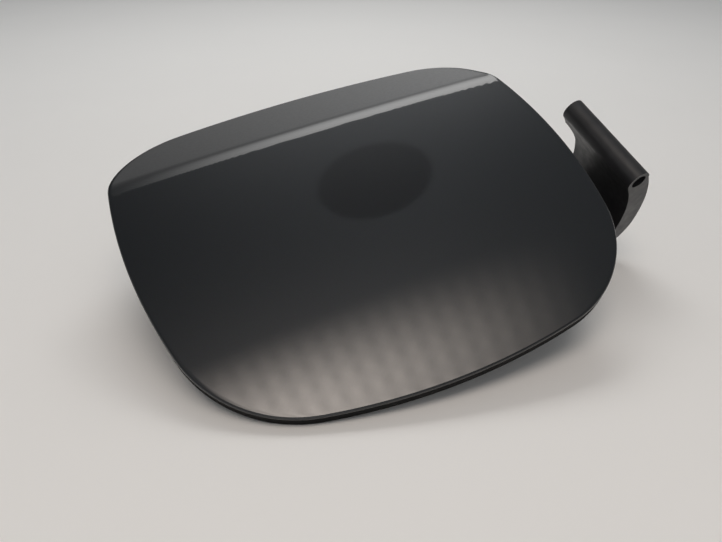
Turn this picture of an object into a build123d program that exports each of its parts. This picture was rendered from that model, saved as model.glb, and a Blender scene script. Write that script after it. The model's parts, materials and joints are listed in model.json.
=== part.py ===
from build123d import *
import os
from math import asin, cos, degrees, radians, sin, sqrt, tan

# Car fuel filler door: a painted skin on a black carrier with a gooseneck hinge arm. All lengths in mm.
# It is drawn face up around the middle of the skin: X towards the hinge, Y towards the shoulder, Z out of
# the face. At the end it is laid down as a loose door comes to rest, on its rim, its arm and its tongue.

# Outline, seen square on: four bowed edges and four rounded corners
door_width = 170.0
door_height = 150.0
edge_fall = 5.25
shoulder_edge_bow = 6.5
hinge_edge_bow = 11.5
lower_edge_bow = 12.0
free_edge_bow = 11.0
shoulder_hinge_corner = 27.0
lower_hinge_corner = 43.0
lower_free_corner = 50.0
shoulder_free_corner = 36.0

# Painted skin: crowned both ways, creased where the shoulder starts, with a turned-down rim
crown_along = 2500.0
crown_across = 700.0
crease_offset = 42.0
crease_radius = 18.0
shoulder_angle = 28.0
skin_wall = 2.5
rim_depth = 5.0
rim_round = 0.9

# Carrier: a flat plate with ribs on both sides, whose upper edges are bonded behind the main face
bond_gap = 0.3
plate_drop = 7.0
plate_wall = 2.5
carrier_inset = 10.0
carrier_crease_gap = 8.0
carrier_corner = 14.0
rib_wall = 2.2
rib_pitch = 30.0
rib_columns = 5
rib_rows = 2
back_rib_height = 3.0

# Hinge barrel, beside the hinge edge
hinge_reach = 19.0
hinge_drop = 8.9
barrel_start = -35.5
barrel_length = 43.0
barrel_radius = 4.7
bore_radius = 3.05
barrel_proud = 0.5

# Gooseneck arm from the barrel, down round the belly and up to the carrier
arm_width = 36.5
arm_wall = 9.2
arm_start_angle = 59.5
arm_bend_radius = 60.2
arm_bend_angle = 35.4
belly_bend_radius = 13.4
leg_rise_angle = 50.0
web_drop = 1.0
web_round = 6.0
web_round_share = 0.9

# Locking tongue at the free edge
tongue_inset = 15.0
tongue_offset = 17.0
tongue_width = 14.0
tongue_wall = 5.0
tongue_depth = 40.8
nose_reach = 6.0
nose_height = 10.0
nose_lead = 5.0
gusset_wall = 3.0
gusset_foot = 15.0
gusset_height = 18.0

# Rubber stop buffers, pressed into bosses in the rib cells near the free edge
boss_wall = 2.5
boss_height = 5.0
stem_radius = 2.5
stem_length = 4.5
stem_clearance = 0.05
head_radius = 5.0
head_height = 3.0
head_round = 1.0

# Attitude of the loose door at rest, in degrees from face up
hinge_side_rise = 14.3
shoulder_side_rise = 26.0

# Sizes that follow from the ones above
plate_back = -plate_drop - plate_wall
hinge_x = door_width / 2 + hinge_reach
tongue_x = tongue_inset - door_width / 2
first_column_x = carrier_inset + rib_pitch / 2 - door_width / 2
first_row_y = carrier_inset + rib_pitch - door_height / 2
buffer_x = first_column_x + rib_pitch / 2
buffer_lower_y = first_row_y + rib_pitch / 2
buffer_upper_y = buffer_lower_y + rib_pitch
deep = door_height
sharpest_crease = 0.5


def bowed_disc(start, end, bow, inset):
    """The disc whose rim is the bowed edge from start to end, drawn in by the inset."""
    chord = end - start
    outwards = Vector(-chord.Y, chord.X).normalized()
    radius = (chord.length**2 / 4 + bow**2) / (2 * bow)
    middle = (start + end) / 2 - outwards * (radius - bow)
    return Pos(middle.X, middle.Y) * Circle(radius - inset)


def edge_corners():
    """Where the bowed edges would meet unrounded: the shoulder's free and hinge ends, then the lower ones."""
    fall = tan(radians(edge_fall))
    left = free_edge_bow - door_width / 2
    right = door_width / 2 - hinge_edge_bow
    upper = door_height / 2 - shoulder_edge_bow
    lower = lower_edge_bow - door_height / 2
    return (
        Vector(left, upper - fall * left),
        Vector(right, upper - fall * right),
        Vector(left, lower - fall * left),
        Vector(right, lower - fall * right),
    )


def rounded(outline, radii):
    """An outline with its four corners rounded, in the order of the edges' corners."""
    for corner, radius in zip(edge_corners(), radii):
        outline = fillet(outline.vertices().sort_by_distance(corner)[0], radius)
    return outline


def under_shoulder(inset):
    """What the hinge, lower and free edges enclose together, drawn in by the inset."""
    shoulder_free, shoulder_hinge, lower_free, lower_hinge = edge_corners()
    enclosed = bowed_disc(shoulder_hinge, lower_hinge, hinge_edge_bow, inset)
    enclosed &= bowed_disc(lower_hinge, lower_free, lower_edge_bow, inset)
    return enclosed & bowed_disc(lower_free, shoulder_free, free_edge_bow, inset)


def door_outline(inset=0.0):
    """The door's outline, or a line at the same inset all round."""
    shoulder_free, shoulder_hinge, _, _ = edge_corners()
    outline = under_shoulder(inset) & bowed_disc(shoulder_free, shoulder_hinge, shoulder_edge_bow, inset)
    radii = (shoulder_free_corner, shoulder_hinge_corner, lower_free_corner, lower_hinge_corner)
    return rounded(outline, [radius - inset for radius in radii])


def prism(outline):
    """Everything straight above and below an outline."""
    return extrude(outline, amount=deep, both=True)


def section_under(depth):
    """Section across the door of all that lies at least this deep under the skin's outer face."""
    crease_height = sqrt(crown_across**2 - crease_offset**2) - crown_across
    main_face = Pos(0, -crown_across) * Circle(crown_across - depth)
    shoulder = Rectangle(4 * deep, 2 * deep, align=(Align.CENTER, Align.MAX))
    shoulder = Pos(crease_offset, crease_height) * Rot(0, 0, -shoulder_angle) * Pos(0, -depth) * shoulder
    window = Rectangle(2 * deep, 2 * deep)
    section = main_face & shoulder & window
    crease = section.vertices().sort_by_distance((crease_offset, crease_height))[0]
    return fillet(crease, max(crease_radius - depth, sharpest_crease))


def crowned(section):
    """A section carried along the door on its long crown, in line with the lower and shoulder edges."""
    crown_axis = Axis((0, 0, -crown_along), (0, 1, 0))
    half_turn = degrees(asin(door_width / crown_along))
    start = (Plane.YZ * section).rotate(crown_axis, -half_turn)
    return Rot(0, 0, -edge_fall) * revolve(start, crown_axis, 2 * half_turn)


def layer(top, bottom):
    """The layer between two depths under the skin's outer face."""
    return crowned(section_under(top) - section_under(bottom))


def make_outer_panel():
    """Skin of one wall all over, its rim turned down around the outline and its edge rounded."""
    skin = layer(0, skin_wall) & prism(door_outline())
    rim = layer(0, rim_depth) & prism(door_outline() - door_outline(skin_wall))
    panel = (skin + rim).solid()
    outer_faces = panel.faces().filter_by(lambda face: face.normal_at().Z > 0.5)
    wall_faces = panel.faces().filter_by(lambda face: abs(face.normal_at().Z) < 0.1)
    return fillet(outer_faces.edges() & wall_faces.edges(), rim_round)


def carrier_outline(inset):
    """The carrier's outline, drawn in by the inset: inside the rim, and short of the crease."""
    crease_side = Rectangle(4 * deep, 2 * deep, align=(Align.CENTER, Align.MAX))
    crease_side = Rot(0, 0, -edge_fall) * Pos(0, crease_offset - carrier_crease_gap - inset) * crease_side
    from_rim = carrier_inset + inset
    upper_corner = carrier_corner - inset
    radii = (upper_corner, upper_corner, lower_free_corner - from_rim, lower_hinge_corner - from_rim)
    return rounded(under_shoulder(from_rim) & crease_side, radii)


def make_plate():
    """Flat plate between two layers of cells: their ribs stand up to the skin and out behind."""
    cells = carrier_outline(rib_wall)
    for row in range(rib_rows):
        cells -= Pos(0, first_row_y + row * rib_pitch) * Rectangle(2 * door_width, rib_wall)
    for column in range(rib_columns):
        cells -= Pos(first_column_x + column * rib_pitch, 0) * Rectangle(rib_wall, 2 * door_height)
    plate = extrude(Pos(0, 0, plate_back - back_rib_height) * carrier_outline(0), deep)
    plate -= extrude(Pos(0, 0, -plate_drop) * cells, deep)
    plate -= extrude(Pos(0, 0, plate_back) * cells, -deep)
    plate &= crowned(section_under(skin_wall + bond_gap))
    return plate.solid().fix()


def upright_plane(x, y):
    """The plane across the hinge axis through a place on the door, drawn on in X and Z."""
    return Plane((x, y, 0), (1, 0, 0), (0, -1, 0))


def make_arm():
    """Gooseneck of one wall: a long bend down from the barrel, a tight belly and a straight leg up."""
    start_angle = radians(arm_start_angle)
    belly_angle = 180 + leg_rise_angle - arm_start_angle - arm_bend_angle
    upper = JernArc((hinge_x, -hinge_drop), (cos(start_angle), -sin(start_angle)), arm_bend_radius, -arm_bend_angle)
    belly = JernArc(upper @ 1, upper % 1, belly_bend_radius, -belly_angle)
    leg_length = -(belly @ 1).Y / sin(radians(leg_rise_angle))
    leg = Line(belly @ 1, belly @ 1 + (belly % 1) * leg_length)

    # The upper bend ends in the barrel and is as wide as it there, then runs in to the arm's width
    near = barrel_proud
    neck = trace(upper, arm_wall) + Pos(hinge_x, -hinge_drop) * Circle(barrel_radius)
    bend = extrude(upright_plane(0, barrel_start + near) * neck, near - barrel_length)
    down_arm = Plane((hinge_x, barrel_start, -hinge_drop), (0, 1, 0), (-sin(start_angle), 0, -cos(start_angle)))
    web_corner = (arm_width, barrel_radius + web_drop)
    beside = Pos(*web_corner) * Rectangle(barrel_length, arm_bend_radius, align=(Align.MIN, Align.MIN))
    widest_round = web_round_share * (barrel_length - arm_width)
    beside = fillet(beside.vertices().sort_by_distance(web_corner)[0], min(web_round, widest_round))
    bend -= extrude(down_arm * beside, arm_bend_radius, both=True)

    lower = extrude(upright_plane(0, barrel_start + near) * trace([belly, leg], arm_wall), near - arm_width)
    lower = split(lower, Plane.XY.offset(-plate_drop), Keep.BOTTOM)
    return bend + lower


def hinge_cylinder(radius, length):
    """A cylinder on the hinge axis, from the barrel's near end."""
    hinge_end = Plane((hinge_x, barrel_start, -hinge_drop), (1, 0, 0), (0, 1, 0))
    return extrude(hinge_end * Circle(radius), length)


def make_tongue():
    """Locking tongue with a hooked nose, and the gusset that props it."""
    half = tongue_wall / 2
    root = -plate_drop - plate_wall / 2
    hook = Polyline(
        (half, root),
        (half, -tongue_depth),
        (nose_lead - half - nose_reach, -tongue_depth),
        (-half - nose_reach, nose_lead - tongue_depth),
        (-half - nose_reach, nose_height - tongue_depth),
        (-half, nose_height - tongue_depth),
        (-half, root),
        close=True,
    )
    brace = Polyline(
        (half, root),
        (half, plate_back - gusset_height),
        (half + gusset_foot, plate_back),
        (half + gusset_foot, root),
        close=True,
    )
    middle = upright_plane(tongue_x, tongue_offset)
    tongue = extrude(middle * make_face(hook), tongue_width / 2, both=True)
    return tongue + extrude(middle * make_face(brace), gusset_wall / 2, both=True)


def buffer_seats():
    """Where the two buffers go in: the middles of their bosses' ends."""
    return [Pos(buffer_x, place, plate_back - boss_height) for place in (buffer_lower_y, buffer_upper_y)]


def make_carrier():
    """The black moulding: plate, ribs, arm, barrel, tongue and buffer bosses in one piece."""
    carrier = make_plate() + make_arm() + hinge_cylinder(barrel_radius, barrel_proud) + make_tongue()
    carrier -= hinge_cylinder(bore_radius, barrel_length)
    bore = stem_radius + stem_clearance
    from_seat_up = (Align.CENTER, Align.CENTER, Align.MIN)
    for seat in buffer_seats():
        carrier += seat * Cylinder(bore + boss_wall, boss_height + plate_wall / 2, align=from_seat_up)
        carrier -= seat * Cylinder(bore, stem_length + stem_clearance, align=from_seat_up)
    return carrier.solid()


def make_buffers():
    """Two rubber stops: a stem up in the boss and a rounded head against its end."""
    buffers = []
    for seat in buffer_seats():
        head = Cylinder(head_radius, head_height, align=(Align.CENTER, Align.CENTER, Align.MAX))
        head = fillet(head.edges().group_by(Axis.Z)[0], head_round)
        stem = Cylinder(stem_radius, stem_length, align=(Align.CENTER, Align.CENTER, Align.MIN))
        buffers.append(seat * (head + stem).solid())
    return Compound(children=buffers)


pieces = {
    "outer_panel": make_outer_panel(),
    "carrier_arm": make_carrier(),
    "stop_buffers": make_buffers(),
}

# Lay the door down at rest: lowest point at zero height, origin under the middle of its box
laid = {}
for name, piece in pieces.items():
    laid[name] = Rot(shoulder_side_rise, 0, 0) * Rot(0, -hinge_side_rise, 0) * piece
low_corners = [piece.bounding_box().min for piece in laid.values()]
high_corners = [piece.bounding_box().max for piece in laid.values()]
middle_x = (min(corner.X for corner in low_corners) + max(corner.X for corner in high_corners)) / 2
middle_y = (min(corner.Y for corner in low_corners) + max(corner.Y for corner in high_corners)) / 2
floor_z = min(corner.Z for corner in low_corners)

os.makedirs("parts", exist_ok=True)
for name, piece in laid.items():
    export_step(Pos(-middle_x, -middle_y, -floor_z) * piece, f"parts/{name}.step")
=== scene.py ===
import bpy
import json
from math import atan2, cos, pi, radians, sin, sqrt, tan
from mathutils import Matrix, Vector


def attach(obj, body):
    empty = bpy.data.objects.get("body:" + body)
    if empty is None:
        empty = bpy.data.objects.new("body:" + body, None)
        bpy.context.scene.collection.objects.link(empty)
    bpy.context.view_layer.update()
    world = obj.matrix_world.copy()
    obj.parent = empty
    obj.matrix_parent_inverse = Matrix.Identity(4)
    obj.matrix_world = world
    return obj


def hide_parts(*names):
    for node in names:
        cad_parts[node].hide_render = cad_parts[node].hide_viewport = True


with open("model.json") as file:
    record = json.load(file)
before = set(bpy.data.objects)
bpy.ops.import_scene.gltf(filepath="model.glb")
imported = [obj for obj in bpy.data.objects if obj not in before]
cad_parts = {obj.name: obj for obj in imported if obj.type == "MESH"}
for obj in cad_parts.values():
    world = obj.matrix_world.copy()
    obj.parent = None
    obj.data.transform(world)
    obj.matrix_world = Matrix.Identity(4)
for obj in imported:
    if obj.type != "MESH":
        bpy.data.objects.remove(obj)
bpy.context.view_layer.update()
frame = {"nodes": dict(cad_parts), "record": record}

# Fuel filler door lying loose on a pale floor, in soft studio light. All lengths in metres.

# Camera: where it stands, which way it looks, and its lens
camera_place = Vector((-0.13743, -0.20359, 0.14948))
camera_right = Vector((0.86006, -0.51019, 0.0))
camera_down = Vector((-0.25482, -0.42958, -0.86634))
camera_forward = Vector((0.44199, 0.74509, -0.49947))
lens_mm = 33.9
sensor_mm = 36.0

# The painted skin, with the solid's own sizes: outline, crown, crease and rim
door_width = 0.170
door_height = 0.150
edge_fall = radians(5.25)
bows = {"shoulder": 0.0065, "hinge": 0.0115, "lower": 0.012, "free": 0.011}
corner_radii = {"shoulder_hinge": 0.027, "lower_hinge": 0.043, "lower_free": 0.050, "shoulder_free": 0.036}
crown_along = 2.5
crown_across = 0.7
crease_offset = 0.042
crease_radius = 0.018
shoulder_angle = radians(28.0)
skin_wall = 0.0025
rim_depth = 0.005
rim_round = 0.0009
hinge_side_rise = radians(14.3)
shoulder_side_rise = radians(26.0)
crease_line_point = Vector((crease_offset, sqrt(crown_across**2 - crease_offset**2) - crown_across))
shoulder_out = Vector((sin(shoulder_angle), cos(shoulder_angle)))

# Place of the hinge bore's middle on the door as it is drawn face up
hinge_reach = 0.019
barrel_middle = -0.014
hinge_drop = 0.0089
bore_on_door = Vector((door_width / 2 + hinge_reach, barrel_middle, -hinge_drop))

# How finely the skin is meshed: steps round its outline, rings across it, and the digits that weld its points
edge_steps = 40
corner_steps = 50
face_steps = 70
round_steps = 6
back_steps = 24
weld_digits = 7

# Floor and surroundings: dim at the back on the left and on the right, bright in front on the left, bluish
# overhead, with one dark spot over the door
floor_side = 6.0
floor_colour = (0.88, 0.875, 0.865)
floor_shade = 0.985
sky_low = 0.54
sky_high = 0.27
sky_left = 0.40
sky_right = 1.10
sky_far_right = 0.45
sky_front = 1.9
sky_tint = (0.86, 0.94, 1.0)
dark_spot = (0.111, 0.136, 0.984)
dark_spot_share = 0.20

# Where each change in the surroundings starts and ends, as the part of a direction that points its way
height_span = (0.3, 0.95)
tint_span = (0.6, 0.9)
left_span = (-0.45, 0.06)
right_span = (0.15, 0.60)
front_span = (0.45, 0.9)
dark_spot_span = (0.9938, 0.9954)

# Level directions in the picture: to the right, and towards the camera
across = Vector((0.86, -0.51, 0.0))
forwards = Vector((-0.51, -0.86, 0.0))

# Two soft light panels overhead, each turned a little from the picture's lower edge. The light rises between
# two shares of a panel's length and depth, and may lie in faint cells.
panel_height = 0.7
cell_faint = 0.04
cell_strong = 0.12
front_panel = {
    "along": 0.069,
    "out": 0.254,
    "turn": radians(24),
    "length": 0.72,
    "depth": 0.36,
    "radiance": 8.2,
    "rise_along": (0.0, 0.8),
    "rise_out": (0.10, 0.66),
    "columns": 20,
    "rows": 8,
    "colour": (1.0, 0.89, 0.80),
}
back_panel = {
    "along": -0.250,
    "out": -0.720,
    "turn": radians(196),
    "length": 0.80,
    "depth": 1.0,
    "radiance": 4.0,
    "rise_along": (0.05, 0.65),
    "rise_out": (0.75, 0.0),
    "columns": 0,
    "rows": 0,
    "colour": (1.0, 0.99, 0.97),
}


def new_material(name):
    """A material with its surface shader ready to be set."""
    material = bpy.data.materials.new(name)
    material.use_nodes = True
    return material, material.node_tree.nodes["Principled BSDF"]


def add_node(owner, kind, **settings):
    """A node with its plain settings and its input values set."""
    node = owner.node_tree.nodes.new(kind)
    for key, value in settings.items():
        if key in node.inputs:
            node.inputs[key].default_value = value
        else:
            setattr(node, key, value)
    return node


def link(owner, output, target):
    """A link from one node's output to another's input."""
    owner.node_tree.links.new(output, target)


def object_point(material):
    """The place on the object, in metres, for patterns that keep their real size."""
    return add_node(material, "ShaderNodeTexCoord").outputs["Object"]


def noise_of(material, scale, detail=3.0):
    """Noise of a given scale, in waves a metre."""
    noise = add_node(material, "ShaderNodeTexNoise", Scale=scale, Detail=detail)
    link(material, object_point(material), noise.inputs["Vector"])
    return noise.outputs["Fac"]


def ramp(owner, factor, low, high, start=0.0, end=1.0):
    """A colour or grey that runs from low to high as the factor goes from start to end."""
    node = add_node(owner, "ShaderNodeMapRange", data_type="FLOAT_VECTOR")
    link(owner, factor, node.inputs["Vector"])
    vector_sockets = node.inputs[7:11]
    for socket, value in zip(vector_sockets, ((start,) * 3, (end,) * 3, low, high)):
        socket.default_value = value
    return node.outputs["Vector"]


def grey_ramp(owner, factor, low, high, start=0.0, end=1.0, way="LINEAR"):
    """A number that runs from low to high as the factor goes from start to end."""
    node = add_node(owner, "ShaderNodeMapRange", interpolation_type=way)
    link(owner, factor, node.inputs["Value"])
    node.inputs["From Min"].default_value = start
    node.inputs["From Max"].default_value = end
    node.inputs["To Min"].default_value = low
    node.inputs["To Max"].default_value = high
    return node.outputs["Result"]


def combine(owner, operation, first, second):
    """Two numbers brought together by one operation; the second may be plain."""
    node = add_node(owner, "ShaderNodeMath", operation=operation)
    link(owner, first, node.inputs[0])
    if isinstance(second, (int, float)):
        node.inputs[1].default_value = second
    else:
        link(owner, second, node.inputs[1])
    return node.outputs["Value"]


def part_along(owner, direction, axis):
    """How far a direction points along an axis."""
    node = add_node(owner, "ShaderNodeVectorMath", operation="DOT_PRODUCT")
    link(owner, direction, node.inputs[0])
    node.inputs[1].default_value = axis
    return node.outputs["Value"]


def bump(material, height, distance):
    """A normal from a height, with its real depth."""
    node = add_node(material, "ShaderNodeBump", Strength=1.0, Distance=distance)
    link(material, height, node.inputs["Height"])
    return node.outputs["Normal"]


def make_paint():
    """Dark grey metallic paint: fine flake under a glossy clear coat with a trace of orange peel."""
    material, surface = new_material("dark_grey_paint")
    flake = add_node(material, "ShaderNodeTexVoronoi", Scale=6000.0)
    link(material, object_point(material), flake.inputs["Vector"])
    colour = ramp(material, flake.outputs["Color"], (0.0015, 0.0020, 0.0029), (0.0055, 0.0073, 0.0104))
    link(material, colour, surface.inputs["Base Color"])
    surface.inputs["Metallic"].default_value = 0.55
    link(material, grey_ramp(material, noise_of(material, 900.0), 0.34, 0.46), surface.inputs["Roughness"])
    surface.inputs["Coat Weight"].default_value = 1.0
    surface.inputs["Coat Roughness"].default_value = 0.035
    surface.inputs["Coat IOR"].default_value = 1.5
    peel = bump(material, noise_of(material, 260.0, 1.0), 0.000004)
    link(material, peel, surface.inputs["Coat Normal"])
    return material


def make_black_plastic():
    """Satin black moulded plastic with a fine grain and slightly uneven gloss."""
    material, surface = new_material("satin_black_plastic")
    cloud = noise_of(material, 120.0)
    colour = ramp(material, cloud, (0.012, 0.012, 0.0135), (0.020, 0.020, 0.022), 0.3, 0.7)
    link(material, colour, surface.inputs["Base Color"])
    gloss = grey_ramp(material, noise_of(material, 300.0), 0.36, 0.50, 0.3, 0.7)
    link(material, gloss, surface.inputs["Roughness"])
    grain = bump(material, noise_of(material, 2600.0, 4.0), 0.000012)
    link(material, grain, surface.inputs["Normal"])
    return material


def make_bare_back_painted_shade():
    """The skin's unpainted rim and back: dull black plastic with dusty overspray, its colour and gloss held
    down further as painted shade of the rim's shadowed band.
    """
    material, surface = new_material("bare_black_back_painted_shade")
    # Near-black base and low specular: the bare plastic's own black, deepened as painted shade so the rim's
    # band stays dark.
    colour = ramp(material, noise_of(material, 90.0), (0.003, 0.003, 0.003), (0.008, 0.008, 0.008), 0.35, 0.7)
    link(material, colour, surface.inputs["Base Color"])
    link(material, grey_ramp(material, noise_of(material, 500.0), 0.70, 0.90), surface.inputs["Roughness"])
    surface.inputs["Specular IOR Level"].default_value = 0.12
    link(material, bump(material, noise_of(material, 1800.0), 0.00002), surface.inputs["Normal"])
    return material


def make_rubber():
    """Matt black rubber."""
    material, surface = new_material("matt_rubber")
    colour = ramp(material, noise_of(material, 400.0), (0.010, 0.010, 0.010), (0.020, 0.020, 0.020), 0.3, 0.7)
    link(material, colour, surface.inputs["Base Color"])
    link(material, grey_ramp(material, noise_of(material, 700.0), 0.70, 0.88), surface.inputs["Roughness"])
    grain = bump(material, noise_of(material, 3000.0, 4.0), 0.00005)
    link(material, grain, surface.inputs["Normal"])
    return material


def edge_circles():
    """The outline's four bowed edges, in turn round the door, each as its circle's centre and radius."""
    fall = tan(edge_fall)
    left = bows["free"] - door_width / 2
    right = door_width / 2 - bows["hinge"]
    upper = door_height / 2 - bows["shoulder"]
    lower = bows["lower"] - door_height / 2
    corners = [
        Vector((left, upper - fall * left)),
        Vector((right, upper - fall * right)),
        Vector((right, lower - fall * right)),
        Vector((left, lower - fall * left)),
    ]
    circles = []
    for number, edge in enumerate(("shoulder", "hinge", "lower", "free")):
        start = corners[number]
        end = corners[(number + 1) % 4]
        chord = end - start
        outwards = Vector((-chord.y, chord.x)).normalized()
        radius = (chord.length_squared / 4 + bows[edge] ** 2) / (2 * bows[edge])
        circles.append(((start + end) / 2 - outwards * (radius - bows[edge]), radius, end))
    return circles


def corner_circle(first, second, near, radius):
    """Centre of the corner's circle, inside both bowed edges and touching them."""
    centre_a, radius_a, _ = first
    centre_b, radius_b, _ = second
    between = centre_b - centre_a
    reach_a = radius_a - radius
    reach_b = radius_b - radius
    along = (reach_a**2 - reach_b**2 + between.length_squared) / (2 * between.length)
    beside = sqrt(reach_a**2 - along**2)
    ahead = between.normalized()
    square = Vector((-ahead.y, ahead.x))
    choices = [centre_a + ahead * along + square * beside * side for side in (1, -1)]
    return min(choices, key=lambda centre: (centre - near).length)


def outline_points():
    """Points round the door's outline, each with the direction straight out of it."""
    circles = edge_circles()
    names = ("shoulder_hinge", "lower_hinge", "lower_free", "shoulder_free")
    corners = []
    for number, name in enumerate(names):
        first = circles[number]
        second = circles[(number + 1) % 4]
        corners.append(corner_circle(first, second, first[2], corner_radii[name]))
    points = []
    for number, name in enumerate(names):
        edge_centre, edge_radius, _ = circles[number]
        next_centre = circles[(number + 1) % 4][0]
        before = (corners[number - 1] - edge_centre).normalized()
        after = (corners[number] - edge_centre).normalized()
        onward = (corners[number] - next_centre).normalized()
        points += arc_points(edge_centre, edge_radius, before, after, edge_steps)
        points += arc_points(corners[number], corner_radii[name], after, onward, corner_steps)
    return points


def arc_points(centre, radius, start, end, steps):
    """Points on an arc, the last left for the next arc, each with the direction straight out."""
    first = atan2(start.y, start.x)
    turn = atan2(start.x * end.y - start.y * end.x, start.dot(end))
    angles = [first + turn * step / steps for step in range(steps)]
    outs = [Vector((cos(angle), sin(angle))) for angle in angles]
    return [(centre + out * radius, out) for out in outs]


def crease_circle():
    """Centre of the crease's circle in the skin's section, which touches the crown and the shoulder."""
    crown_centre = Vector((0.0, -crown_across))
    reach = crown_across - crease_radius
    start = crease_line_point - shoulder_out * crease_radius - crown_centre
    along = Vector((shoulder_out.y, -shoulder_out.x))
    half = start.dot(along)
    root = sqrt(half**2 - start.length_squared + reach**2)
    return crown_centre + start + along * min(root - half, -root - half, key=abs)


def section_height(across_door, depth):
    """Height and slope of the skin's section, so deep under its face: crown, crease and straight shoulder."""
    crown_end = crease_centre.x * (crown_across - depth) / (crown_across - crease_radius)
    shoulder_start = crease_centre.x + shoulder_out.x * (crease_radius - depth)
    if across_door < crown_end:
        height = sqrt((crown_across - depth) ** 2 - across_door**2)
        return height - crown_across, -across_door / height
    if across_door < shoulder_start:
        from_middle = across_door - crease_centre.x
        height = sqrt((crease_radius - depth) ** 2 - from_middle**2)
        return crease_centre.y + height, -from_middle / height
    foot = crease_line_point - shoulder_out * depth
    return foot.y - tan(shoulder_angle) * (across_door - foot.x), -tan(shoulder_angle)


crease_centre = crease_circle()


def skin_point(x, y, depth=0.0):
    """Height of the skin over a place on the door, and its slopes along X and Y."""
    along = cos(edge_fall) * x - sin(edge_fall) * y
    across_door = sin(edge_fall) * x + cos(edge_fall) * y
    section, slope = section_height(across_door, depth)
    arm = section + crown_along
    height = sqrt(arm**2 - along**2)
    slope_along = -along / height
    slope_across = slope * arm / height
    slope_x = cos(edge_fall) * slope_along + sin(edge_fall) * slope_across
    slope_y = -sin(edge_fall) * slope_along + cos(edge_fall) * slope_across
    return height - crown_along, slope_x, slope_y


def face_rings(outline, inset, shares, depth, side):
    """Rings of points on the skin at shares of the way from the middle to the edge, normals to one side."""
    rings = []
    for share in shares:
        ring = []
        for point, out in outline:
            place = (point - out * inset) * share
            height, slope_x, slope_y = skin_point(place.x, place.y, depth)
            normal = Vector((-slope_x, -slope_y, 1.0)).normalized() * side
            ring.append((Vector((place.x, place.y, height)), normal))
        rings.append(ring)
    return rings


def round_rings(outline):
    """Rings on the rounded edge, from where it leaves the face to where it meets the rim's wall."""
    rings = [[] for _ in range(round_steps + 1)]
    for point, out in outline:
        place = point - out * rim_round
        height, slope_x, slope_y = skin_point(place.x, place.y)
        fall = slope_x * out.x + slope_y * out.y
        low = height - rim_round * sqrt(1 + fall**2)
        first = atan2(1.0, -fall)
        for step in range(round_steps + 1):
            angle = first * (1 - step / round_steps)
            reach = place + out * rim_round * cos(angle)
            normal = Vector((out.x * cos(angle), out.y * cos(angle), sin(angle)))
            rings[step].append((Vector((reach.x, reach.y, low + rim_round * sin(angle))), normal))
    return rings


def rim_ring(outline, inset, depth, turned):
    """One ring of the rim at an inset and a depth, its normals out, in or down."""
    ring = []
    for point, out in outline:
        place = point - out * inset
        height = skin_point(place.x, place.y, depth)[0]
        normal = Vector((0, 0, -1)) if turned == 0 else Vector((out.x, out.y, 0)) * turned
        ring.append((Vector((place.x, place.y, height)), normal))
    return ring


def make_skin(paint, bare_with_painted_shade):
    """The painted skin as one closed mesh: glossy face and edge, bare rim and back, the rim darkened further
    as painted shade.
    """
    outline = outline_points()
    outwards = [step / face_steps for step in range(face_steps + 1)]
    inwards = [1 - step / back_steps for step in range(back_steps + 1)]
    face = face_rings(outline, 2 * rim_round, outwards, 0.0, 1)
    edge = round_rings(outline)
    foot = rim_ring(outline, 0, rim_depth, 1)
    foot_down = rim_ring(outline, 0, rim_depth, 0)
    inner_down = rim_ring(outline, skin_wall, rim_depth, 0)
    inner_foot = rim_ring(outline, skin_wall, rim_depth, -1)
    inner_top = rim_ring(outline, skin_wall, skin_wall, -1)
    back = face_rings(outline, skin_wall, inwards, skin_wall, -1)
    bands = [
        (face + edge, 0),
        ([edge[-1], foot], 1),
        ([foot_down, inner_down], 1),
        ([inner_foot, inner_top], 1),
        (back, 1),
    ]
    skin = mesh_of_bands("painted_skin", bands, (paint, bare_with_painted_shade))
    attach(skin, "root")
    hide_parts("outer_panel")


def mesh_of_bands(name, bands, materials):
    """A closed mesh, laid down as it rests, of bands whose rings are joined each to the next."""
    turn = Matrix.Rotation(shoulder_side_rise, 3, "X") @ Matrix.Rotation(-hinge_side_rise, 3, "Y")
    shift = Vector(frame["record"]["mounts"][0]["pos_m"]) - turn @ bore_on_door
    index_of = {}
    places = []
    faces = []
    loop_normals = []
    face_slots = []

    def number_of(point):
        key = tuple(round(part, weld_digits) for part in point)
        if key not in index_of:
            index_of[key] = len(places)
            places.append(turn @ point + shift)
        return index_of[key]

    for rings, slot in bands:
        for ring, following in zip(rings, rings[1:]):
            for step in range(len(ring)):
                onward = (step + 1) % len(ring)
                corners = (ring[step], ring[onward], following[onward], following[step])
                face = {}
                for point, normal in corners:
                    face.setdefault(number_of(point), turn @ normal)
                faces.append(list(face))
                loop_normals.extend(face.values())
                face_slots.append(slot)
    mesh = bpy.data.meshes.new(name)
    mesh.from_pydata(places, [], faces)
    for material in materials:
        mesh.materials.append(material)
    mesh.polygons.foreach_set("material_index", face_slots)
    mesh.shade_smooth()
    mesh.normals_split_custom_set(loop_normals)
    piece = bpy.data.objects.new(name, mesh)
    bpy.context.scene.collection.objects.link(piece)
    return piece


def make_floor():
    """Pale matt floor, large enough to fill the view."""
    material, surface = new_material("pale_floor")
    darker = tuple(part * floor_shade for part in floor_colour)
    colour = ramp(material, noise_of(material, 6.0), darker, floor_colour, 0.3, 0.7)
    link(material, colour, surface.inputs["Base Color"])
    surface.inputs["Roughness"].default_value = 0.75
    surface.inputs["Specular IOR Level"].default_value = 0.2
    half = floor_side / 2
    mesh = bpy.data.meshes.new("floor")
    corners = [(-half, -half, 0), (half, -half, 0), (half, half, 0), (-half, half, 0)]
    mesh.from_pydata(corners, [], [(0, 1, 2, 3)])
    mesh.materials.append(material)
    floor = bpy.data.objects.new("floor", mesh)
    bpy.context.scene.collection.objects.link(floor)


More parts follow.
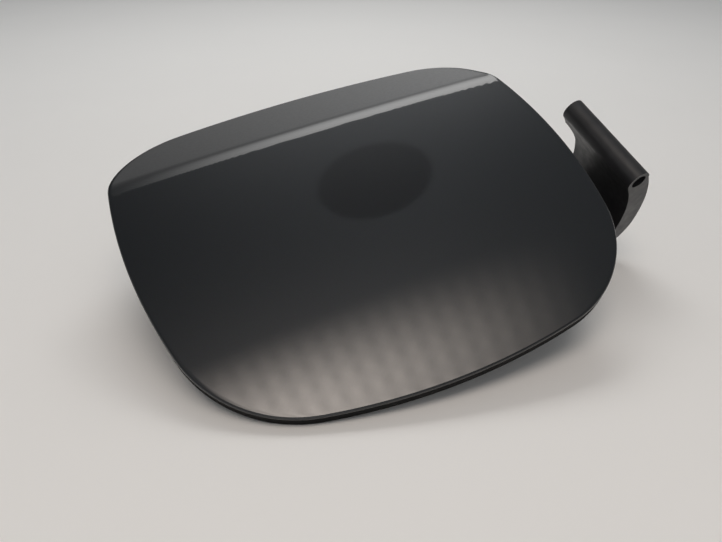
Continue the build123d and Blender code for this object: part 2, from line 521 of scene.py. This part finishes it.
def make_sky():
    """Soft surroundings, brightest low down and in front on the left, with one dark spot overhead."""
    world = bpy.data.worlds.new("soft_surroundings")
    bpy.context.scene.world = world
    world.use_nodes = True
    direction = add_node(world, "ShaderNodeTexCoord").outputs["Generated"]
    upwards = part_along(world, direction, (0.0, 0.0, 1.0))
    height = grey_ramp(world, upwards, sky_low, sky_high, *height_span, "SMOOTHSTEP")
    sideways = part_along(world, direction, across)
    left = grey_ramp(world, sideways, sky_left, sky_right, *left_span)
    right = grey_ramp(world, sideways, 1.0, sky_far_right, *right_span)
    side = combine(world, "MULTIPLY", left, right)
    left_front = (forwards - across).normalized()
    front = grey_ramp(world, part_along(world, direction, left_front), 1.0, sky_front, *front_span)
    to_spot = part_along(world, direction, dark_spot)
    spot = grey_ramp(world, to_spot, 1.0, dark_spot_share, *dark_spot_span, "SMOOTHSTEP")
    strength = combine(world, "MULTIPLY", combine(world, "MULTIPLY", height, side), front)
    background = world.node_tree.nodes["Background"]
    link(world, combine(world, "MULTIPLY", strength, spot), background.inputs["Strength"])
    tint = ramp(world, upwards, (1.0, 1.0, 1.0), sky_tint, *tint_span)
    link(world, tint, background.inputs["Color"])


def wave(light, share, count):
    """So many waves across a panel, or none, between -1 and 1."""
    return combine(light, "COSINE", combine(light, "MULTIPLY", share, 2 * pi * count), 0.0)


def add_panel(name, panel):
    """A soft light panel overhead, whose light rises along it and across it, in faint cells."""
    light = bpy.data.lights.new(name, "AREA")
    light.shape = "RECTANGLE"
    light.size = panel["length"]
    light.size_y = panel["depth"]
    light.energy = panel["radiance"] * pi * panel["length"] * panel["depth"]
    light.color = panel["colour"]
    light.use_nodes = True
    split = add_node(light, "ShaderNodeSeparateXYZ")
    link(light, add_node(light, "ShaderNodeNewGeometry").outputs["Parametric"], split.inputs["Vector"])
    along = grey_ramp(light, split.outputs["X"], 0.0, 1.0, *panel["rise_along"], "SMOOTHSTEP")
    outwards = grey_ramp(light, split.outputs["Y"], 0.0, 1.0, *panel["rise_out"], "SMOOTHSTEP")
    columns = wave(light, split.outputs["X"], panel["columns"])
    row_wave = wave(light, split.outputs["Y"], panel["rows"])
    rows = grey_ramp(light, row_wave, cell_faint, cell_strong, -1.0, 1.0)
    cells = combine(light, "ADD", combine(light, "MULTIPLY", columns, rows), 1 - cell_strong)
    strength = combine(light, "MULTIPLY", combine(light, "MULTIPLY", along, outwards), cells)
    link(light, strength, light.node_tree.nodes["Emission"].inputs["Strength"])
    lamp = bpy.data.objects.new(name, light)
    turned = Matrix.Rotation(panel["turn"], 3, "Z")
    axes = Matrix((turned @ -across, turned @ forwards, Vector((0, 0, 1)))).transposed()
    middle = across * panel["along"] + forwards * panel["out"] + Vector((0, 0, panel_height))
    lamp.matrix_world = Matrix.Translation(middle) @ axes.to_4x4()
    bpy.context.scene.collection.objects.link(lamp)


def make_camera():
    """The camera, at its place and angle."""
    camera = bpy.data.cameras.new("camera")
    camera.sensor_fit = "HORIZONTAL"
    camera.sensor_width = sensor_mm
    camera.lens = lens_mm
    camera.clip_start = 0.01
    stand = bpy.data.objects.new("camera", camera)
    axes = Matrix((camera_right, -camera_down, -camera_forward)).transposed()
    stand.matrix_world = Matrix.Translation(camera_place) @ axes.to_4x4()
    bpy.context.scene.collection.objects.link(stand)
    bpy.context.scene.camera = stand


def finish_node(name, material):
    """A solid gets its material on every slot."""
    solid = frame["nodes"][name]
    for slot in solid.material_slots:
        slot.material = material
    if not solid.material_slots:
        solid.data.materials.append(material)


make_skin(make_paint(), make_bare_back_painted_shade())
finish_node("carrier_arm", make_black_plastic())
finish_node("stop_buffers", make_rubber())

make_floor()
make_sky()
add_panel("front_panel", front_panel)
add_panel("back_panel", back_panel)
make_camera()

view = bpy.context.scene.view_settings
view.view_transform = "Standard"
